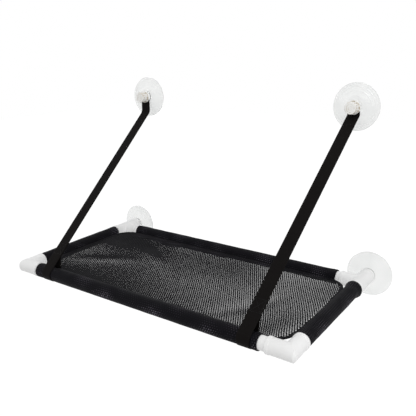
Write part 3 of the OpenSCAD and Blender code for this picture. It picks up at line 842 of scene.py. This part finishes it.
def make_sleeve(name, seed):
    slots = [STRAP_LOW_X, -STRAP_LOW_X] if name == "front_sleeve" else []
    points, faces, uv = join_parts([sleeve_tube(name, seed, slots), sleeve_hem(name, seed, slots)])
    made = make_piece("cloth_" + name, points, faces, SLEEVE_CLOTH, uv)
    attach(made, "frame")
    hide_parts(name)


# Stitches. A stitch is drawn by rings, each at a share of its length and as a share of the thread's radius.
THREAD_R = 0.28 * MM
THREAD_SIDES = 6
STITCH_PITCH = 2.6 * MM
STITCH_RINGS = ((0.08, 0.35), (0.24, 1), (0.76, 1), (0.92, 0.35))
HEM_STITCHES_IN = 1.7 * MM
HEM_STITCHES_OUT = 0.05 * MM
HEM_STITCHES_END = 2 * MM
HEM_STITCHES_PLACES = 25
HEM_STITCHES_FOLLOW = 0.75


def make_stitches(name, runs, body):
    """Rows of short stitches. A run is a list of points; each stitch is a small rounded bar along it."""
    points, faces = [], []
    turn = np.linspace(0, 2 * pi, THREAD_SIDES, endpoint=False)
    bar = grid_quads(len(STITCH_RINGS), THREAD_SIDES, wrap_columns=True)
    for run in runs:
        line, _ = resample(np.array(run), STITCH_PITCH)
        for a, b in zip(line, line[1:]):
            way = b - a
            slanting = abs(way[2]) < 0.9 * np.linalg.norm(way)
            side = np.cross(way, (0, 0, 1.0) if slanting else (0, 1.0, 0))
            side /= np.linalg.norm(side)
            above = np.cross(side, way) / np.linalg.norm(way)
            first = len(points)
            for share, size in STITCH_RINGS:
                for t in turn:
                    points.append(a + share * way + size * THREAD_R * (cos(t) * side + sin(t) * above))
            last = len(points) - THREAD_SIDES
            faces += [tuple(int(i) + first for i in f) for f in bar]
            faces.append(tuple(first + k for k in range(THREAD_SIDES - 1, -1, -1)))
            faces.append(tuple(last + k for k in range(THREAD_SIDES)))
    made = make_piece(name, points, faces, THREAD)
    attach(made, body)


def make_hem_stitches(name):
    """A row of stitches along a sleeve's hem, above and below."""
    centre, way, toward, _, hem_half = sleeve_frame(name)
    slip = hem_slip(name)
    runs = []
    end = hem_half - HEM_STITCHES_END
    places = np.linspace(-end, end, HEM_STITCHES_PLACES) - slip
    fall_back = [min(0, fringe(name, place + slip)) for place in places]
    widths = HEM_EDGE - HEM_STITCHES_IN + HEM_STITCHES_FOLLOW * np.array(fall_back)
    for side in (1, -1):
        up = (side * (HEM_T / 2 + HEM_STITCHES_OUT), UP)
        runs.append([at_point(centre, (p, way), (w, toward), up) for p, w in zip(places, widths)])
    make_stitches("stitches_" + name, runs, "frame")


# Corner bindings: a tape folded over the net's cut edge and sewn through. It follows a rounded seam past
# the net's outline, through a quarter turn and a few degrees more at both ends.
TAPE_T = 0.5 * MM
BINDING_W = 5.8 * MM
BINDING_WAVE = 0.2 * MM
SEAM_PAST = 5.2 * MM
SEAM_CORNER = 34 * MM
SPARE_TURN = 3.0
CORNER_STEPS = 40
CORNERS = {
    "binding_front_left": (-1, -1),
    "binding_front_right": (1, -1),
    "binding_back_left": (-1, 1),
    "binding_back_right": (1, 1),
}


def make_corner(name, side_x, side_y):
    corner = SEAM_CORNER
    reach_x, reach_y = NET_X + SEAM_PAST - corner, NET_Y + SEAM_PAST - corner
    centre = Vector((side_x * reach_x, MIDDLE_Y + side_y * reach_y, 0))
    half = HEM_T / 2
    fold_w, fold_h = corner - TAPE_T - 0.2 * MM, half - TAPE_T
    profiles, along = [], []
    for turn in np.linspace(-SPARE_TURN, 90 + SPARE_TURN, CORNER_STEPS):
        way = Vector((side_x * cos(radians(turn)), side_y * sin(radians(turn)), 0))
        inner = corner - BINDING_W - BINDING_WAVE * sin(radians(turn) * 9)
        outside = [(inner, half - 0.15 * MM), (inner + 0.3 * MM, half), (inner + 1.5 * MM, half - 0.12 * MM),
                   (inner + 2.7 * MM, half), (corner - 0.8 * MM, half), (corner - 0.2 * MM, 0.6 * half)]
        inside = [(inner, -fold_h), (fold_w, -fold_h), (fold_w, fold_h), (inner, fold_h)]
        ring = outside + [(w, -h) for w, h in outside[::-1]] + inside
        profiles.append([at_point(centre, (w, way), (h, UP)) for w, h in ring])
        along.append(radians(turn) * corner)
    if side_x * side_y < 0:
        profiles = [p[::-1] for p in profiles]
    points, faces, uv = capped_strip(profiles, along, ring_lengths(ring))
    made = make_piece(name, points, faces, BINDING_TAPE, uv)
    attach(made, "frame")
    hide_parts("corner_bindings")


for seed, name in enumerate(SLEEVES, FIRST_SEED):
    make_sleeve(name, seed)
    make_hem_stitches(name)

for name, (side_x, side_y) in CORNERS.items():
    make_corner(name, side_x, side_y)


# Straps
TILT_ROUNDS = 8
TAIL_SOFTEN = 6 * MM
TAIL_STEPS, LOOP_STEPS, BEND_STEPS = 9, 61, 17
TAPER = 1.2 * TIP_R
TIP_END = 0.4 * MM

# Ribs across a strap, which stop before its edges, and how far its faces lie inside the CAD strap's
RIB_PITCH = 1.5 * MM
STRAP_STEP = RIB_PITCH / 4
RIB_H = 0.07 * MM
RIBS_STOP = 0.95
FACE_INSET = 0.05 * MM

# The hole for an upper cup's stud
STUD_HOLE_R = 4.5 * MM
STUD_HOLE_DEPTH = 6 * MM
HOLE_SIDES = 48

# A strap across its width: shares of its half width, and of its half thickness there
STRAP_SHARES = np.array([-1, -0.985, -0.9, -0.6, -0.3, 0, 0.3, 0.6, 0.9, 0.985, 1])
STRAP_THICK = np.array([0.25, 0.75, 1.0, 0.94, 0.94, 0.94, 0.94, 0.94, 1.0, 0.75, 0.25])

# The stitched box, along the strap from the loop's middle, and across from the strap's middle
BOX_NEAR = LOOP_LENGTH + 4 * MM
BOX_FAR = LOOP_LENGTH + TAIL_LENGTH - 3 * MM
BOX_HALF = STRAP_W / 2 - 2.2 * MM


def strap_path(drop, bend_r):
    """The strap's centre line in Y and Z from the end of its sewn tail, under and round the front
    sleeve, and up to its tip; how far it tilts; and its radius round the sleeve."""
    loop_r = PRESSED_R + LOOP_GAP + STRAP_T / 2
    tilt = radians(45)
    for _ in range(TILT_ROUNDS):
        foot = (STRAP_Y - bend_r * (1 - sin(tilt)) - FRONT_Y, CUP_RISE - drop - bend_r * cos(tilt))
        tilt = atan2(foot[1], foot[0]) - asin(loop_r / hypot(*foot))
    seam = atan2(loop_r, LOOP_LENGTH)
    second = 2 * seam - pi / 2
    tail_h = loop_r - STRAP_T
    leave = np.array([loop_r * cos(second), loop_r * sin(second)])
    way = np.array([cos(2 * seam), sin(2 * seam)])
    meet = leave + way * (tail_h - leave[1]) / way[1]
    before, after = np.array([meet[0] + TAIL_SOFTEN, tail_h]), meet - TAIL_SOFTEN * way
    view = [(LOOP_LENGTH + TAIL_LENGTH, tail_h), tuple(before)]
    for share in np.linspace(0, 1, TAIL_STEPS)[1:-1]:
        a = (1 - share) ** 2 * before + 2 * share * (1 - share) * meet
        view.append(tuple(a + share**2 * after))
    view.append(tuple(after))
    for turn in np.linspace(second, -1.5 * pi, LOOP_STEPS):
        view.append((loop_r * cos(turn), loop_r * sin(turn)))
    line = [(FRONT_Y + p * cos(tilt) - h * sin(tilt), p * sin(tilt) + h * cos(tilt)) for p, h in view]
    for turn in np.linspace(tilt - pi / 2, 0, BEND_STEPS):
        line.append((STRAP_Y - bend_r + bend_r * cos(turn), CUP_RISE - drop + bend_r * sin(turn)))
    line.append((STRAP_Y, CUP_RISE + TIP_R))
    return np.array(line), tilt, loop_r


def make_strap(name, side, drop, bend_r):
    line, tilt, loop_r = strap_path(drop, bend_r)
    line, at = resample(line, STRAP_STEP)
    way = np.gradient(line, axis=0)
    way /= np.linalg.norm(way, axis=1)[:, None]
    out = np.stack([-way[:, 1], way[:, 0]], 1)
    low_z, high_z = loop_r * cos(tilt), CUP_RISE - drop
    share = np.clip((line[:, 1] - low_z) / (high_z - low_z), 0, 1)
    round_loop = at < at[-1] * 0.5
    share = np.where(round_loop & (line[:, 1] < low_z), 0, share)
    centre_x = STRAP_LOW_X + (UPPER_CUP_X - STRAP_LOW_X) * share
    above = line[:, 1] - CUP_RISE
    taper = np.clip((line[:, 1] - (CUP_RISE - TAPER)) / TAPER, 0, 1)
    half = STRAP_W / 2 + (TIP_R - STRAP_W / 2) * taper
    tip = np.sqrt(np.maximum(TIP_END**2, TIP_R**2 - above**2))
    half = np.where((above > 0) & ~round_loop, tip, half)
    rib = RIB_H * np.cos(2 * pi * at / RIB_PITCH)
    count = len(STRAP_SHARES)
    profiles = []
    for k in range(len(line)):
        ring = []
        for sign, order in ((1, range(count)), (-1, range(count)[::-1])):
            for c in order:
                ribbed = abs(STRAP_SHARES[c]) < RIBS_STOP
                thick = sign * (STRAP_T / 2 * STRAP_THICK[c] + rib[k] * ribbed - FACE_INSET)
                ring.append((side * (centre_x[k] + STRAP_SHARES[c] * half[k]),
                             line[k, 0] + out[k, 0] * thick, line[k, 1] + out[k, 1] * thick))
        profiles.append(ring if side < 0 else ring[::-1])
    across = np.concatenate([STRAP_SHARES, STRAP_SHARES[::-1], STRAP_SHARES[:1]]) * STRAP_W / 2
    points, faces, uv = capped_strip(profiles, at, across)
    made = make_piece(name.replace("_strap", "_webbing_strap"), points, faces, WEBBING, uv)
    cut_stud_hole(made, (side * UPPER_CUP_X, STRAP_Y, CUP_RISE))
    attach(made, name)
    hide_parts(name)

    def sewn(along, across, height):
        """A place on the strap or on its tail."""
        run_z = along * sin(tilt) + loop_r * cos(tilt)
        x = STRAP_LOW_X + (UPPER_CUP_X - STRAP_LOW_X) * (run_z - low_z) / (high_z - low_z)
        return (side * (x + across), FRONT_Y + along * cos(tilt) - height * sin(tilt),
                along * sin(tilt) + height * cos(tilt))

    # A stitched box with a cross, through the strap and the tail sewn to it
    runs = []
    corners = [(BOX_NEAR, -BOX_HALF), (BOX_FAR, -BOX_HALF), (BOX_FAR, BOX_HALF), (BOX_NEAR, BOX_HALF)]
    box = [*corners, corners[0], corners[2]]
    path = [*zip(box, box[1:]), (corners[3], corners[1])]
    for height in (loop_r + STRAP_T / 2, loop_r - 1.5 * STRAP_T):
        runs += [[sewn(*a, height), sewn(*b, height)] for a, b in path]
    make_stitches(name + "_stitches", runs, name)


def cut_stud_hole(made, centre):
    """Cuts a round hole along Y for the upper cup's stud."""
    turn = np.linspace(0, 2 * pi, HOLE_SIDES, endpoint=False)
    points = [(centre[0] + STUD_HOLE_R * cos(t), centre[1] + side * STUD_HOLE_DEPTH / 2,
               centre[2] + STUD_HOLE_R * sin(t)) for side in (-1, 1) for t in turn]
    faces = [tuple(f) for f in grid_quads(2, HOLE_SIDES, wrap_columns=True)]
    faces += [tuple(range(HOLE_SIDES - 1, -1, -1)), tuple(range(HOLE_SIDES, 2 * HOLE_SIDES))]
    hole = make_piece("stud_hole", points, faces, WEBBING, smooth=False)
    cut = made.modifiers.new("stud_hole", "BOOLEAN")
    cut.object, cut.operation, cut.solver = hole, "DIFFERENCE", "EXACT"
    graph = bpy.context.evaluated_depsgraph_get()
    mesh = bpy.data.meshes.new_from_object(made.evaluated_get(graph))
    made.modifiers.clear()
    made.data = mesh
    bpy.data.objects.remove(hole)


for name, (side, drop, bend_r) in STRAP_SIDES.items():
    make_strap(name, side, drop, bend_r)

# Suction cups, turned round an axis that points out of the glass. Measures here are in millimetres.
# A profile lists radius and height, and starts and ends on the axis.
CUP_R, CUP_H, BOSS_R, LIP_T, LIP_SEAT, HOLLOW = 40, 10.7, 12.5, 1.3, 5, 3.4
BOSS_STRAIGHT = 2.4
BOSS_ROUND = 0.8
LIP_UNDER, LIP_OVER = 0.35, 0.4
CUP_STEPS = 80
CUP_AROUND = 128
RIDGE_W = 0.6
CUP_RIDGES = [(27, 0.3), (33.4, 0.5), (36.8, 0.5)]
STUD_POCKET = [(4.05, CUP_H), (4.05, 8.55), (7.55, 8.55), (7.55, 6.45), (0, 6.45)]
PLUG_NECK = [(5, CUP_H), (5, 17.1), (6.4, 17.1), (6.4, 17.5), (5.6, 19.5), (0, 19.5)]


def cup_profile(middle):
    """From the hollow under the cup, round its lip and up to the boss, then the points of its middle."""
    profile = [(0, HOLLOW)]
    for k in range(1, CUP_STEPS + 1):
        share = k / CUP_STEPS
        profile.append(((CUP_R - LIP_SEAT) * share, HOLLOW * (1 + cos(pi * share)) / 2))
    profile += [(CUP_R - LIP_UNDER, 0), (CUP_R, LIP_UNDER)]
    profile += [(CUP_R, LIP_T - LIP_OVER), (CUP_R - LIP_OVER, LIP_T)]
    for k in range(CUP_STEPS - 1, -1, -1):
        share = k / CUP_STEPS
        radius = BOSS_R + (CUP_R - BOSS_R) * share
        height = LIP_T + (CUP_H - BOSS_STRAIGHT - LIP_T) * (1 + cos(pi * share)) / 2
        ridge = sum(rise * np.exp(-(((radius - at) / RIDGE_W) ** 2)) for at, rise in CUP_RIDGES)
        profile.append((radius, height + ridge))
    for turn in np.linspace(0, pi / 2, 5):
        out, up = BOSS_ROUND * cos(turn), BOSS_ROUND * sin(turn)
        profile.append((BOSS_R - BOSS_ROUND + out, CUP_H - BOSS_ROUND + up))
    return profile + middle


def make_cup(name, body, x, z, middle):
    profile = np.array(cup_profile(middle)) * MM
    around = CUP_AROUND
    radius, height = profile[1:-1].T
    turn = np.linspace(0, 2 * pi, around, endpoint=False)
    ring = np.stack([
        x + radius[:, None] * np.cos(turn), np.broadcast_to(-height[:, None], (len(radius), around)),
        z + radius[:, None] * np.sin(turn),
    ], -1).reshape(-1, 3)
    count = len(ring)
    points = [*ring, (x, -profile[0, 1], z), (x, -profile[-1, 1], z)]
    faces = [tuple(f) for f in grid_quads(len(radius), around, wrap_columns=True)]
    faces += [(count, (k + 1) % around, k) for k in range(around)]
    last = count - around
    faces += [(count + 1, last + k, last + (k + 1) % around) for k in range(around)]
    made = make_piece(name, points, faces, SOFT_CLEAR)
    made.data.set_sharp_from_angle(angle=radians(40))
    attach(made, body)
    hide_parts(body)


for side, word in ((-1, "left"), (1, "right")):
    make_cup("soft_cup_upper_" + word, f"upper_{word}_cup", side * UPPER_CUP_X, CUP_RISE, STUD_POCKET)
    make_cup("soft_cup_lower_" + word, f"lower_{word}_cup", side * SIDE_X, 0.0, PLUG_NECK)


# CAD nodes that keep their shape and get a better material
WHITE_NODES = (
    "front_tube", "back_tube", "left_side_tube", "right_side_tube", "front_left_elbow",
    "front_right_elbow", "back_left_tee", "back_right_tee", "left_socket_plug", "right_socket_plug",
)
CLEAR_NODES = ("upper_left_stud", "upper_right_stud", "left_screw_cap", "right_screw_cap")
for names, material in ((WHITE_NODES, WHITE_PLASTIC), (CLEAR_NODES, HARD_CLEAR)):
    for name in names:
        nodes[name].data.materials.clear()
        nodes[name].data.materials.append(material)

bpy.context.scene.view_settings.view_transform = "Standard"
